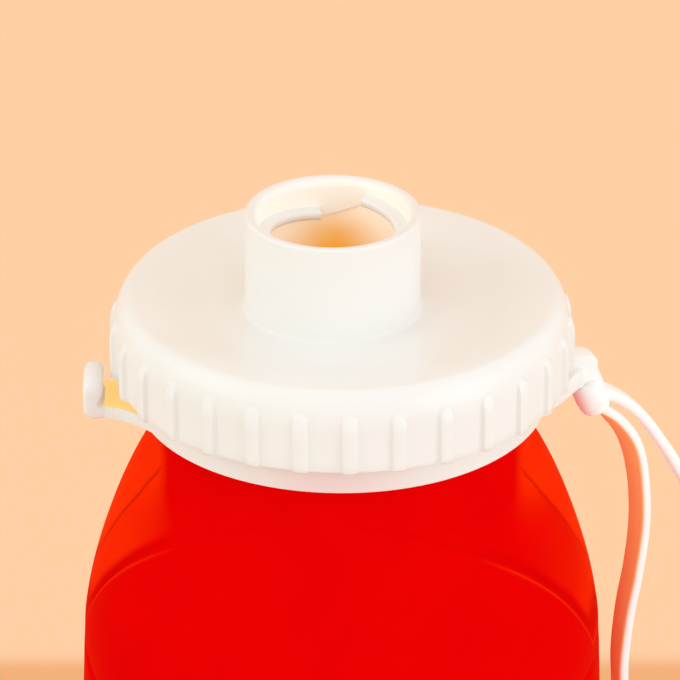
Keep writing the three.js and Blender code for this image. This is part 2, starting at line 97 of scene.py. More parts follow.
# shader maths as plain expressions
class Wire:
    def __init__(self, tree, socket=None):
        self.tree = tree
        self.socket = socket

    def add(self, kind, settings=None, sockets=None, out=0):
        node = self.tree.nodes.new(kind)
        for name, value in (settings or {}).items():
            setattr(node, name, value)
        for name, value in (sockets or {}).items():
            if isinstance(value, Wire):
                self.tree.links.new(value.socket, node.inputs[name])
            else:
                node.inputs[name].default_value = value
        return Wire(self.tree, node.outputs[out])

    def math(self, operation, *values):
        return self.add("ShaderNodeMath", {"operation": operation}, dict(enumerate(values)))

    def __add__(self, other):
        return self.math("ADD", self, other)

    def __sub__(self, other):
        return self.math("SUBTRACT", self, other)

    def __mul__(self, other):
        return self.math("MULTIPLY", self, other)

    def __rsub__(self, other):
        return self.math("SUBTRACT", other, self)

    __radd__ = __add__
    __rmul__ = __mul__

    def step(self, low, high):  # 0 below low, 1 above high, smooth between
        return self.add("ShaderNodeMapRange", {"interpolation_type": "SMOOTHSTEP"}, {0: self, 1: low, 2: high})

    def noise(self, place, scale, detail=3.0, rough=0.5):
        sockets = {"Vector": place, "Scale": scale, "Detail": detail, "Roughness": rough}
        return self.add("ShaderNodeTexNoise", None, sockets)

    def mix(self, share, first, second):
        return self.add("ShaderNodeMix", {"data_type": "RGBA"}, {0: share, 6: first, 7: second}, out=2)

    def dot(self, place, direction):
        return self.add("ShaderNodeVectorMath", {"operation": "DOT_PRODUCT"}, {0: place, 1: direction}, out=1)

    def painted(self, name):  # a value kept on the vertices
        return self.add("ShaderNodeAttribute", {"attribute_name": name}, out=2)


def newMaterial(name):
    material = bpy.data.materials.new(name)
    material.use_nodes = True
    wire = Wire(material.node_tree)
    place = wire.add("ShaderNodeTexCoord", out=3)  # Object coordinates
    return material, wire, place


def dress(material, uniform, varying):
    tree = material.node_tree
    shader = tree.nodes["Principled BSDF"]
    for name, value in uniform.items():
        shader.inputs[name].default_value = value
    for name, value in varying.items():
        tree.links.new(value.socket, shader.inputs[name])
    return Wire(tree, shader.outputs[0])


def bumped(wire, height, look):
    sockets = {"Strength": look["bump"], "Distance": look["bumpDeep"], "Height": height}
    return wire.add("ShaderNodeBump", None, sockets)


def uneven(rough, broad, grain, look):
    return rough + (broad - 0.5) * look["roughBroad"] + (grain - 0.5) * look["roughGrain"]


# the red body's colours: deep and lit are two red tones mixed at random, side is a painted orange light for the
# side panels and the arc's lip, line is a painted dark for shade along seams and in the arc's valley
silicone = dict(
    deep=(0.765, 0.0003, 0.0005, 1), lit=(0.815, 0.0006, 0.0006, 1), side=(0.99, 0.027, 0.0006, 1),
    line=(0.40, 0.0004, 0.0004, 1), gloss=0.0005, sheen=0.13, sheenSoft=0.3, sheenTint=(1.0, 0.18, 0.002, 1),
    patch=55, cloud=495, grain=2600, rough=0.46, roughBroad=0.12, roughGrain=0.08, bump=0.16, bumpDeep=0.0002)


def redSilicone():
    look = silicone
    material, wire, place = newMaterial("redSilicone")
    patch = wire.noise(place, look["patch"], 4.0, 0.55)
    grain = wire.noise(place, look["grain"], 2.0)
    cloud = wire.noise(place, look["cloud"], 3.0)
    colour = wire.mix(patch.step(0.3, 0.7), look["deep"], look["lit"])
    colour = wire.mix(wire.painted("paintedLight"), colour, look["side"])  # painted light: the side panels and the arc's lip lighter and more orange, where light from the sides falls and the peach backdrop reflects
    # painted shade: darker along the V seams' groove and in the arc's valley
    colour = wire.mix(wire.painted("seam"), colour, look["line"])
    rough = uneven(look["rough"], cloud, grain, look)
    height = grain * 0.7 + cloud * 0.3
    dress(material,
          {"Specular IOR Level": look["gloss"], "Sheen Weight": look["sheen"],
           "Sheen Roughness": look["sheenSoft"], "Sheen Tint": look["sheenTint"]},
          {"Base Color": colour, "Roughness": rough, "Normal": bumped(wire, height, look)})
    return material


# the white plastic's colours: base and pale vary at random; the ring's painted red reflection, the painted
# amber light in the bore and on the hook's arm, and the painted glows where shade falls are set here too
plastic = dict(
    base=(0.900, 0.890, 0.862, 1), pale=(0.916, 0.908, 0.884, 1), redBounceTint=(0.90, 0.70, 0.68, 1),
    amber=(0.80, 0.38, 0.07, 1), dark=(0, 0, 0, 1), glow=(0.425, 0.40, 0.35, 1), faint=0.4,
    boreGlow=(0.35, 0.17, 0.012, 1), armGlow=(0.54, 0.38, 0.05, 1), collarTint=0.985, collarRough=0.38,
    patch=90, swirl=450, grain=3200, gloss=0.5, rough=0.30, roughBroad=0.10, roughGrain=0.05,
    bump=0.10, bumpDeep=0.00015)


def whitePlastic(name, tint, rough, through):
    look = plastic
    material, wire, place = newMaterial(name)
    patch = wire.noise(place, look["patch"], 3.0)
    grain = wire.noise(place, look["grain"], 2.0)
    swirl = wire.noise(place, look["swirl"], 4.0, 0.6)
    base, pale = (tuple(c * tint for c in look[shade][:3]) + (1,) for shade in ("base", "pale"))
    colour = wire.mix(patch.step(0.25, 0.75), base, pale)
    colour = wire.mix(wire.painted("redBounce"), colour, look["redBounceTint"])  # painted reflection of the body's red on the ring above it
    amberLight = wire.painted("amberLight")  # painted amber light and glow, standing for light through the wall, in the spout's bore and on the hook's arm
    colour = wire.mix(amberLight, colour, look["amber"])
    # painted glow where shade falls, in the spout's bore and on the hook's arm and the lug's top
    glow = wire.mix(wire.painted("inside"), look["dark"], look["glow"])
    height = grain * 0.6 + swirl * 0.4
    dress(material, {"Specular IOR Level": look["gloss"], "Emission Strength": 1.0},
          {"Base Color": colour, "Roughness": uneven(rough, swirl, grain, look),
           "Normal": bumped(wire, height, look), "Emission Color": wire.mix(amberLight, glow, through)})
    return material


# the strap's colours: besides its own white, a painted reflection of the body's red and a faint painted glow
band = dict(
    base=(0.95, 0.935, 0.905, 1), pale=(0.97, 0.955, 0.93, 1), rough=0.5, reflectedRed=(0.99, 0.70, 0.22, 1),
    paintedGlow=(0.045, 0.055, 0.06, 1), paintedRedGlow=(0.10, 0.012, 0.0, 1), sealBase=(0.80, 0.78, 0.74, 1),
    sealPale=(0.85, 0.83, 0.79, 1), sealRough=0.58, gloss=0.25, patch=160, grain=3800, roughBroad=0.12,
    roughGrain=0.08, bump=0.14, bumpDeep=0.0002)


def softWhite(name, base, pale, rough, clear=False):
    look = band
    material, wire, place = newMaterial(name)
    patch = wire.noise(place, look["patch"], 3.0)
    grain = wire.noise(place, look["grain"], 2.0)
    colour = wire.mix(patch.step(0.3, 0.7), base, pale)
    varying = {"Roughness": uneven(rough, patch, grain, look), "Normal": bumped(wire, grain, look)}
    if clear:  # a painted reflection of the body's red on the face turned to the bottle, and a faint painted glow
        redReflection = wire.painted("redReflection")
        colour = wire.mix(redReflection, colour, look["reflectedRed"])
        varying["Emission Color"] = wire.mix(redReflection, look["paintedGlow"], look["paintedRedGlow"])
    dress(material, {"Specular IOR Level": look["gloss"], "Emission Strength": 1.0 if clear else 0.0},
          {"Base Color": colour, **varying})
    return material


redBody = redSilicone()
capWhite = whitePlastic("capPlastic", 1.0, plastic["rough"], plastic["boreGlow"])
collarWhite = whitePlastic("collarPlastic", plastic["collarTint"], plastic["collarRough"], plastic["armGlow"])
strapWhite = softWhite("strapSilicone", band["base"], band["pale"], band["rough"], clear=True)
sealWhite = softWhite("sealSilicone", band["sealBase"], band["sealPale"], band["sealRough"])
print("materials ready")


def meshObject(name, bm, material):
    mesh = bpy.data.meshes.new(name)
    bm.to_mesh(mesh)
    bm.free()
    mesh.materials.append(material)
    made = bpy.data.objects.new(name, mesh)
    scene.collection.objects.link(made)
    return made


# stage: peach paper, darker near the bottle, and soft light from both sides of the front
stageLook = dict(
    far=(0.985, 0.556, 0.272, 1), near=(0.845, 0.318, 0.056, 1), edge=0.2260, blur=0.005, own=0.75, glow=1.09,
    paper=(0.84, 0.78, 0.72, 1), fleck=(0.82, 0.76, 0.70, 1), fibre=900, size=8.0,
    wall=(1.0, 0.62, 0.36, 1), wallFleck=(1.0, 0.66, 0.42, 1), wallFibre=3.0, wallSize=4.8, wallOff=2.7,
    matte={"Roughness": 0.9, "Specular IOR Level": 0.0}, sky=(1.0, 0.962, 0.925, 1), skyPower=0.96)
lamps = dict(
    key=dict(place=(0.90, -0.60, 0.10), size=0.9, power=3.3, colour=(0.74, 0.89, 1.0)),
    fill=dict(place=(-1.10, -0.40, 0.55), size=1.0, power=2.7, colour=(0.79, 1.0, 0.95)),
)


def paperSheet(size):
    bm = bmesh.new()
    bmesh.ops.create_grid(bm, x_segments=2, y_segments=2, size=size / 2)
    return bm


def makeFloor():
    look = stageLook
    material, wire, place = newMaterial("backdropPaper")
    share = wire.dot(place, ahead).step(look["edge"] - look["blur"], look["edge"] + look["blur"])
    colour = wire.mix(share, look["near"], look["far"])
    fibre = wire.mix(wire.noise(place, look["fibre"], 2.0), look["paper"], look["fleck"])
    plain = dress(material, look["matte"], {"Base Color": fibre})
    # the camera and mirrors see mostly an even glow, all other rays plain paper
    tree = wire.tree
    rays = tree.nodes.new("ShaderNodeLightPath")
    seen = Wire(tree, rays.outputs["Is Camera Ray"])
    for kind in ("Is Glossy Ray", "Is Transmission Ray"):
        seen = wire.math("MAXIMUM", seen, Wire(tree, rays.outputs[kind]))
    glow = wire.add("ShaderNodeEmission", None, {"Color": colour, "Strength": look["glow"]})
    both = wire.add("ShaderNodeMixShader", None, {0: seen * look["own"], 1: plain, 2: glow})
    tree.links.new(both.socket, tree.nodes["Material Output"].inputs["Surface"])
    floor = meshObject("backdropFloor", paperSheet(look["size"]), material)


def makeWall():  # stands far behind the bottle, where the glossy top mirrors it
    look = stageLook
    material, wire, place = newMaterial("wallPaper")
    tint = wire.mix(wire.noise(place, look["wallFibre"], 2.0), look["wall"], look["wallFleck"])
    dress(material, look["matte"], {"Base Color": tint})
    bm = paperSheet(look["wallSize"])
    upright = Matrix((right, skyward, -ahead)).transposed().to_4x4()
    behind = Matrix.Translation(ahead * look["wallOff"] + skyward * look["wallSize"] / 2)
    bmesh.ops.transform(bm, matrix=behind @ upright, verts=bm.verts)
    wall = meshObject("backdropWall", bm, material)


def makeLights():
    for name, lamp in lamps.items():
        light = bpy.data.lights.new(name + "Softbox", "AREA")
        light.size = lamp["size"]
        light.energy = lamp["power"]
        light.color = lamp["colour"]
        spot = bpy.data.objects.new(name + "Softbox", light)
        x, y, z = lamp["place"]
        spot.location = aim + right * x + ahead * y + skyward * z
        spot.rotation_euler = (spot.location - aim).to_track_quat("Z", "Y").to_euler()
        scene.collection.objects.link(spot)
    world = bpy.data.worlds.new("studioSky")
    world.use_nodes = True
    sky = world.node_tree.nodes["Background"]
    sky.inputs["Color"].default_value = stageLook["sky"]
    sky.inputs["Strength"].default_value = stageLook["skyPower"]
    scene.world = world


makeFloor()
makeWall()
makeLights()
print("stage lit")


# shared shaping, in millimetres
def finishPiece(name, bm, material, sharp=38):
    weld(bm)
    bmesh.ops.dissolve_degenerate(bm, edges=bm.edges, dist=1e-7)
    bmesh.ops.recalc_face_normals(bm, faces=bm.faces)
    for face in bm.faces:
        face.smooth = True
    for edge in bm.edges:
        edge.smooth = edge.calc_face_angle(0.0) < radians(sharp)
    piece = meshObject(name, bm, material)
    print(f"  {name}: {len(piece.data.polygons)} faces")
    return piece


def weld(bm):
    bmesh.ops.remove_doubles(bm, verts=bm.verts, dist=1e-6)


def paint(bm, name):  # a value per vertex
    return bm.verts.layers.float.new(name)


def polar(r, angle, z):
    return Vector((r * cos(angle), r * sin(angle), z)) * mm


def columnOf(v, steps):  # a vertex's step in a full spin
    return round(atan2(v.co.y, v.co.x) / tau * steps) % steps


def vertsOf(geometry):
    return [g for g in geometry if isinstance(g, bmesh.types.BMVert)]


def around(ring):  # neighbours round a closed ring
    return list(zip(ring, ring[1:] + ring[:1]))


def joined(target, source):  # adds one bmesh to another
    mesh = bpy.data.meshes.new("step")
    source.to_mesh(mesh)
    source.free()
    target.from_mesh(mesh)
    bpy.data.meshes.remove(mesh)


def corner(x, z, radius, start, end, count=5):  # points of an arc, angles in degrees
    turns = [radians(lerp(start, end, i / count)) for i in range(count + 1)]
    return [(x + radius * cos(t), z + radius * sin(t)) for t in turns]


def roundedBox(x0, y0, x1, y1, radius, count):
    spots = ((x1 - radius, y1 - radius, 0), (x0 + radius, y1 - radius, 90),
             (x0 + radius, y0 + radius, 180), (x1 - radius, y0 + radius, 270))
    return [p for x, y, start in spots for p in corner(x, y, radius, start, start + 90, count)]


# a profile of (radius, height) pairs turned about Z; each vertex keeps its row
def spunProfile(bm, profile, steps, closed=False):
    row = bm.verts.layers.int.get("row") or bm.verts.layers.int.new("row")
    verts = [bm.verts.new((r * mm, 0, z * mm)) for r, z in profile]
    for i, v in enumerate(verts):
        v[row] = i
    pairs = around(verts) if closed else zip(verts, verts[1:])
    edges = [bm.edges.new(p) for p in pairs]
    bmesh.ops.spin(bm, geom=verts + edges, cent=(0, 0, 0), axis=(0, 0, 1), angle=tau, steps=steps,
                   use_merge=True, use_duplicate=False)
    return row


def turned(name, profile, steps, material, sharp):  # one closed profile about Z
    bm = bmesh.new()
    spunProfile(bm, profile, steps, closed=True)
    return finishPiece(name, bm, material, sharp)


def loft(bm, stations, closed=False):  # a skin through rings of points
    ring = [bm.verts.new(p * mm) for p in stations[0]]
    first = [bm.edges.new(p) for p in around(ring)]
    loop = first
    if not closed:
        bm.faces.new(ring)
    for station in stations[1:]:
        fresh = set(vertsOf(bmesh.ops.extrude_edge_only(bm, edges=loop)["geom"]))
        ring = [next(e.other_vert(v) for e in v.link_edges if e.other_vert(v) in fresh) for v in ring]
        for v, p in zip(ring, station):
            v.co = p * mm
        loop = [bm.edges.get(p) for p in around(ring)]
    if closed:
        bmesh.ops.bridge_loops(bm, edges=loop + first)
    else:
        bm.faces.new(ring)


def raised(bm, faces, height):  # flat faces made into a plate
    made = bmesh.ops.extrude_face_region(bm, geom=faces)["geom"]
    bmesh.ops.translate(bm, verts=vertsOf(made), vec=(0, 0, height * mm))
    bmesh.ops.recalc_face_normals(bm, faces=bm.faces)


def framed(bm, outer, inner, low, high):  # a plate between two outlines and two heights
    loops = []
    for outline in (outer, inner):
        verts = [bm.verts.new((x * mm, y * mm, low * mm)) for x, y in outline]
        loops += [bm.edges.new(p) for p in around(verts)]
    bmesh.ops.bridge_loops(bm, edges=loops)
    raised(bm, bm.faces[:], high - low)


def bevelSharp(bm, faces, offset, limit=60):
    edges = {e for f in faces for e in f.edges if e.calc_face_angle(0.0) > radians(limit)}
    bmesh.ops.bevel(bm, geom=list(edges), offset=offset * mm, offset_type="OFFSET", affect="EDGES", segments=3,
                    profile=0.5, material=-1, clamp_overlap=True)


# a flat band with rounded edges along a line; sides is the direction of its width
def sweptBand(bm, line, sides, width, thick, closed=False):
    outline = roundedBox(-width / 2, -thick / 2, width / 2, thick / 2, thick * 0.36, 3)
    stations, ups = [], []
    for i, point in enumerate(line):
        before = line[i - 1] if i or closed else point
        after = line[(i + 1) % len(line)] if i + 1 < len(line) or closed else point
        tangent = (after - before).normalized()
        side = (sides[i] - tangent * sides[i].dot(tangent)).normalized()
        up = tangent.cross(side)
        stations.append([point + side * x + up * y for x, y in outline])
        ups.append(up)
    loft(bm, stations, closed)
    return ups


# a closed section that climbs round the axis, such as a thread or a ramp
def climbingBar(bm, section, start, span, rise, steps, centre=(0, 0), taper=0.0):
    older = set(bm.verts)
    verts = [bm.verts.new(polar(r, start, z)) for r, z in section]
    face = bm.faces.new(verts)
    made = bmesh.ops.spin(bm, geom=[face], cent=(0, 0, 0), axis=(0, 0, 1), dvec=(0, 0, rise * mm / steps),
                          angle=span, steps=steps, use_duplicate=False)
    for v in verts + vertsOf(made["geom_last"]):  # the ends sink into the wall
        v.co -= Vector((v.co.x, v.co.y, 0)).normalized() * taper * mm
    fresh = [v for v in bm.verts if v not in older]
    bmesh.ops.translate(bm, verts=fresh, vec=(centre[0] * mm, centre[1] * mm, 0))


# strap: the hanging loop's middle line, out from the lug's end and up from the ring's lower edge
strapForm = dict(
    lugEnd=35.6, ringZ=187.2, width=4.5, thick=1.6, sub=6, length=0.222,
    # strength and spread of the painted red reflection on the inner leg's face
    redReflection=0.9, leeFace=(0.6, 0.8), leeLeg=(0.5, 0.62),
    twist=[(0, -10), (0.25, -9), (0.52, 3), (0.76, 16), (0.84, 23), (0.9, 30), (0.95, 26), (1.0, 8)],
    route=[(1.4, -2.1), (4.4, -2.7), (8.7, -6.1), (12.1, -10.9), (14.8, -15.5), (18.6, -23.2),
           (22.4, -35.2), (25.2, -50.2), (26.2, -66.5), (25.8, -83.2), (23.2, -97.2), (18.4, -104.8),
           (13.2, -103.2), (10.6, -93.2), (9.3, -79.2), (8.3, -65.2), (7.6, -53.2), (7.5, -47.5),
           (8.1, -40.0), (9.0, -34.0), (9.7, -26.5), (9.6, -20.5), (8.8, -14.5), (7.4, -10.2),
           (5.0, -6.8), (2.0, -4.0)])


def curvedRoute(points, sub):  # Catmull-Rom through the points, ends repeated
    ends = [points[0]] + points + [points[-1]]
    line = []
    for i in range(len(points) - 1):
        a, b, c, d = ends[i:i + 4]
        for j in range(sub):
            t = j / sub
            line.append(0.5 * (2 * b + (c - a) * t + (2 * a - 5 * b + 4 * c - d) * t * t
                               + (3 * b - 3 * c + d - a) * t ** 3))
    return line + [points[-1]]


def makeStrap():
    form = strapForm
    flat = curvedRoute([Vector(p) for p in form["route"]], form["sub"])
    line = [Vector((form["lugEnd"] + p.x, 0, form["ringZ"] + p.y)) for p in flat]
    last = len(line) - 1
    across = Vector((0, 1, 0))
    sides = []
    for i in range(len(line)):
        tangent = (line[min(i + 1, last)] - line[max(i - 1, 0)]).normalized()
        lean = radians(along(form["twist"], i / last))
        sides.append(across * cos(lean) + tangent.cross(across) * sin(lean))
    bm = bmesh.new()
    redReflection = paint(bm, "redReflection")
    ups = sweptBand(bm, line, sides, form["width"], form["thick"])
    for v in bm.verts:  # painted red reflection on the inner leg's face that looks at the bottle
        near = min(range(len(line)), key=lambda i: (line[i] * mm - v.co).length_squared)
        lift = (v.co / mm - line[near]).dot(ups[near]) * (-1 if ups[near].x > 0 else 1)
        facing = smooth(*form["leeFace"], lift / form["thick"] * 2)
        v[redReflection] = facing * smooth(*form["leeLeg"], near / len(line)) * form["redReflection"]
    strap = finishPiece("strapLoop", bm, strapWhite)
    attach(strap, "upper")
    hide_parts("strap")
    return strap, [p * mm for p in line]


# knot: boxes are x and z of two corners; each turn has its lift, size and share of the height
knotForm = dict(
    bar=(33.4, 187.2, 35.6, 190.1), barRound=0.4, gap=0.01, wrap=(31.8, 186.0, 37.75, 191.95), wrapRound=1.3,
    wrapWide=5.1, sag=0.3, sagRun=3, dip=1.2, bevel=0.45, middle=(36.8, 185.4), lean=radians(-22),
    wide=3.2, deep=6.8, tall=4.6, thick=1.8, square=0.8, wave=0.25, steps=36,
    turns=[(0.3, 1.0, 0.95), (-1.35, 0.95, 0.56)])


def farFrom(face, axis, low, high):  # a face's reach from the middle
    return max(abs(v.co[axis] / mm - (low + high) / 2) for v in face.verts)


def squared(x, power):  # fills out a circle's corners
    return copysign(abs(x) ** power, x)


def makeKnot():
    form = knotForm
    bm = bmesh.new()
    # the doubled strap goes once round the lug's bar
    x0, z0, x1, z1 = form["wrap"]
    b0, c0, b1, c1 = form["bar"]
    gap, half = form["gap"], form["wrapWide"] / 2
    outer = [(x, z - form["sag"] * smooth(x0 + form["sagRun"], x0, x) * smooth(z0, z1, z))
             for x, z in roundedBox(*form["wrap"], form["wrapRound"], 6)]
    inner = roundedBox(b0 - gap, c0 - gap, b1 + gap, c1 + gap, form["barRound"], 6)
    framed(bm, outer, inner, -half, half)
    rim = [f for f in bm.faces if farFrom(f, 0, b0, b1) > b1 - b0 or farFrom(f, 1, c0, c1) > c1 - c0]
    bevelSharp(bm, [f for f in rim if abs(f.normal.z) < 0.5], form["bevel"])
    bmesh.ops.rotate(bm, cent=(0, 0, 0), matrix=Matrix.Rotation(pi / 2, 3, "X"), verts=bm.verts)
    for v in bm.verts:
        far = smooth(-half, half, v.co.y / mm) * smooth(b0, x1, v.co.x / mm)
        v.co.z -= form["dip"] * far * smooth(c0, z1, v.co.z / mm) * mm
    # its other end crosses round both legs
    tilt = Matrix.Rotation(form["lean"], 3, "Y")
    middle = Vector((form["middle"][0], 0, form["middle"][1]))
    for lift, size, tall in form["turns"]:
        loop = []
        for i in range(form["steps"]):
            t = tau * i / form["steps"]
            x = squared(cos(t), form["square"]) * form["wide"] / 2 * size
            y = squared(sin(t), form["square"]) * form["deep"] / 2 * size
            loop.append(middle + tilt @ Vector((x, y, lift + form["wave"] * sin(t))))
        sweptBand(bm, loop, [tilt @ skyward] * len(loop), form["tall"] * tall, form["thick"], closed=True)
    knot = finishPiece("strapKnot", bm, strapWhite)
    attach(knot, "upper")
    return knot


strap, strapLine = makeStrap()
knot = makeKnot()
print("strap hung")


# silicone body: one moulding from the foot to the neck, pressed in along its fold lines
bodyForm = dict(
    radius=39.4, wall=2.8, baseHigh=10, footRadius=32.5, footWidth=5, footRecess=1.2, floor=3.4, floorRound=4.1,
    shoulderFootZ=150, shoulderHigh=31, shoulderFoot=38.8, shoulderTop=27.0, rounding=1.33, flare=0.042,
    neckRadius=26.5, neckEase=0.1, neckWall=2.6, neckTopZ=196.5, neckEdge=0.3, ringZ=188.0,
    waistZ=178, waistRun=3.4, waistFill=0.3, steps=320, crowd=0.5, blendLow=0.010, blendHigh=0.138)
# creases are share of the half width and depth; the arc's valley is place, depth and share of painted light;
# its width and depth go by degrees off the sides, the seam's half width by height
foldForm = dict(
    turn=radians(-11.8), count=7, rise=13.6, spacing=3.6, depth=0.9, half=1.5, topZ=147, crown=0.3,
    crownRun=12, tip=0.06, tipRun=(6, 12), panel=(0.08, 0.25, 0.5, 0.75, 0.92),
    crease=[(-1, 0), (-0.68, 0.14), (-0.36, 0.6), (0, 1), (0.36, 0.6), (0.68, 0.14), (1, 0)],
    reach=30.8, lean=1.0146, bow=0.00809, arcClose=0.8,
    valleyWide=[(0, 5.0), (8, 5.0), (15, 3.2), (25, 2.5), (40, 2.5), (60, 1.4), (90, 0.6)],
    valleyDeep=[(0, 0.05), (7, 0.08), (22, 0.58), (40, 0.6), (62, 0.32), (90, 0.06)],
    valley=[(-0.5, 0, 0), (-0.3, -0.15, 0), (-0.14, -0.36, 0.2), (-0.04, -0.36, 0.75), (0.05, 0.1, 0.15),
            (0.2, 0.7, 0), (0.4, 1, 0), (0.6, 0.9, 0), (0.8, 0.6, 0.05), (1.0, 0.3, 0.35), (1.25, 0.1, 0.8),
            (1.5, 0, 1)],
    seamTurn=radians(-7.8), seamDepth=0.28, seamHalf=0.4, seamLean=0.88, seamLow=(158, 160),
    seamHigh=(179, 181),
    seam=[(158.5, 0), (161.6, 1.9), (165.1, 4.1), (167.8, 5.4), (170.6, 6.9), (173.3, 8.4), (175.5, 9.3),
          (178, 9.8), (181, 9.9)])
# where the body's painted light and painted shade go: highlight on the lip, light on the side panels, shade in
# the valley and along the seams
lightAndShadePaint = dict(
    lipRight=(18, 28), lipLeft=(22, 32), valleyShade=0.18, seamShade=0.55, lineHalf=0.3, neckZ=(172, 180),
    lowBorder=(22.5, 32.5), neckBorder=(25.0, 26.8), seamBlur=0.5, rightShift=3.0, shiftZ=(170, 178),
    besideRight=(0.25, 0.75), besideRun=(30.5, 35.5), besideLeft=0.72)
neckFootZ = bodyForm["shoulderFootZ"] + bodyForm["shoulderHigh"]


def bodyRadius(z):
    form = bodyForm
    if z < form["shoulderFootZ"]:
        return min(form["radius"], form["shoulderFoot"] + form["flare"] * (form["shoulderFootZ"] - z))
    t = min(1.0, max(0.0, (neckFootZ - min(z, form["waistZ"])) / form["shoulderHigh"]))
    bulge = (1 - (1 - t) ** form["rounding"]) ** (1 / form["rounding"])
    r = lerp(form["shoulderTop"], form["shoulderFoot"], bulge)
    if z > form["waistZ"]:  # hollow run up into the neck
        hollow = exp((form["waistZ"] - z) / form["waistRun"])
        r = lerp(form["neckRadius"] - form["neckEase"], r, hollow)
    return r


def offSide(angle):  # degrees from the nearer side, 90 at the front and back
    return degrees(asin(min(1.0, abs(sin(angle)))))


def seamOff(angle, z):  # distance outside the V seam on a side panel
    return abs(bodyRadius(z) * sin(angle - foldForm["seamTurn"])) - along(foldForm["seam"], z, eased=False)


def creaseZ(k, front):
    weight = front if k % 2 == 0 else 1 - front
    return foldForm["topZ"] - k * (foldForm["rise"] + foldForm["spacing"]) - foldForm["rise"] * weight


def arcZ(front):  # the arc leans from the neck down to the sides
    fold = foldForm
    top = neckFootZ - fold["arcClose"]
    low, high = creaseZ(0, front) + fold["spacing"], top
    for _ in range(24):
        z = (low + high) / 2
        drop = neckFootZ - z
        reach = fold["reach"] - fold["lean"] * drop + fold["bow"] * drop * drop
        if bodyRadius(z) * sqrt(front) > reach:
            low = z
        else:
            high = z
    return lerp((low + high) / 2, top, front ** 6)


def lipHighlight(angle, z):  # painted highlight on the arc's lip, strongest towards the sides
    across = bodyRadius(z) * cos(angle - foldForm["seamTurn"])
    return smooth(*lightAndShadePaint["lipRight"], across) if across > 0 else smooth(*lightAndShadePaint["lipLeft"], -across)


def sideLight(angle, z):  # painted light on the side panels, 1 there, with a crisper border up by the neck
    tint = lightAndShadePaint
    aside = cos(angle - foldForm["seamTurn"])
    across = abs(bodyRadius(z) * aside)
    beside = tint["besideLeft"]
    if aside > 0:
        across -= tint["rightShift"] * (1 - smooth(*tint["shiftZ"], z))
        beside = lerp(*tint["besideRight"], smooth(*tint["besideRun"], across))
    high = smooth(*tint["neckZ"], z)
    inside = smooth(tint["seamBlur"], -tint["seamBlur"], seamOff(angle, z))
    border = [lerp(low, neck, high) for low, neck in zip(tint["lowBorder"], tint["neckBorder"])]
    return smooth(*border, across) * lerp(beside, 1, max(inside, high))


# rows are (radius, height), with the painted shade of seams and valleys and the painted light of the side
# panels and lip where there is any
def footRows():
    form = bodyForm
    inner, recess = form["footRadius"] - form["footWidth"], form["footRecess"]
    rows = [(0, recess), (inner - 2, recess), (inner - 1.0, recess * 0.8), (inner, recess * 0.15),
            (inner + 0.7, 0), (form["footRadius"] - 0.6, 0)]
    for i in range(1, 11):
        t = pi / 2 * i / 10
        r = lerp(form["footRadius"], form["radius"], sin(t))
        rows.append((r, form["baseHigh"] * (1 - cos(t))))
    return rows


def foldRows(front, fromSide, tip):  # panels and creases up to the top fold
    fold = foldForm
    rows, low = [], bodyForm["baseHigh"]
    for k in range(fold["count"] - 1, -1, -1):
        z = creaseZ(k, front)
        top = z - fold["half"]
        crown = fold["crown"] * min(1.0, (top - low) / fold["crownRun"])
        if k == fold["count"] - 1:  # the lowest panel stays plain
            crown = 0
        for share in fold["panel"]:
            at = lerp(low, top, share)
            swell = crown * hump(share) * (smooth(4, 30, fromSide) if k == 0 else 1)
            rows.append((bodyRadius(at) + swell, at))
        for share, depth in fold["crease"]:
            at = z + share * fold["half"]
            press = depth * fold["depth"] * (lerp(0.06, 1, smooth(5, 26, fromSide)) if k == 0 else 1)
            if k == 0 and share > 0:
                press = max(press, tip)
            rows.append((bodyRadius(at) - press, at))
        low = z + fold["half"]
    return rows, low


def arcRows(angle, front, fromSide, tip, low):  # the broad panel under the arc, then the arc's valley and lip
    fold = foldForm
    arc = arcZ(front)
    wide, deep = along(fold["valleyWide"], fromSide), along(fold["valleyDeep"], fromSide)
    edge = max(low + 0.2, arc + fold["valley"][0][0] * wide)
    rows = []
    for i in range(1, 13):
        share = i / 13
        at = lerp(low, edge, share)
        rows.append((bodyRadius(at) + fold["crown"] * hump(share) * smooth(8, 34, fromSide) - tip, at))
    last = edge
    for share, depth, paintedLight in fold["valley"]:
        at = max(last + 0.01, min(arc + share * wide, neckFootZ - 0.2 + 0.1 * share))
        press = max(deep * depth, tip) if share < 0.45 else deep * depth
        lip = lipHighlight(angle, at)
        # painted shade in the arc's valley beside its lip, a painted highlight on the lip and painted light on
        # the side panels above
        dark = lightAndShadePaint["valleyShade"] * lip * smooth(0.1, 0.3, share) * smooth(1.1, 0.7, share)
        rows.append((bodyRadius(at) - press, at, dark, paintedLight * (lip if share < 0.1 else sideLight(angle, at))))
        last = at
    return rows


def sideRows(angle, last):  # the shoulder with its V seams, then the run up into the neck
    fold = foldForm
    rows = []
    for i in range(1, 45):
        at = lerp(last, neckFootZ, i / 44)
        off = seamOff(angle, at) * fold["seamLean"]
        ends = smooth(*fold["seamLow"], at) * (1 - smooth(*fold["seamHigh"], at))
        groove = fold["seamDepth"] * exp(-(off / fold["seamHalf"]) ** 2) * ends
        # painted shade along the V seam's groove
        dark = lightAndShadePaint["seamShade"] * exp(-(off / lightAndShadePaint["lineHalf"]) ** 2) * ends
        rows.append((bodyRadius(at) - groove, at, dark, sideLight(angle, at)))
    full = 1 - smooth(10, 24, offSide(angle - fold["seamTurn"]))  # less of a waist at the sides
    for i in range(1, 8):
        at = neckFootZ + i * 0.8
        rows.append((bodyRadius(at) + bodyForm["waistFill"] * full * (1 - i / 8), at, 0.0, sideLight(angle, at)))
    return rows


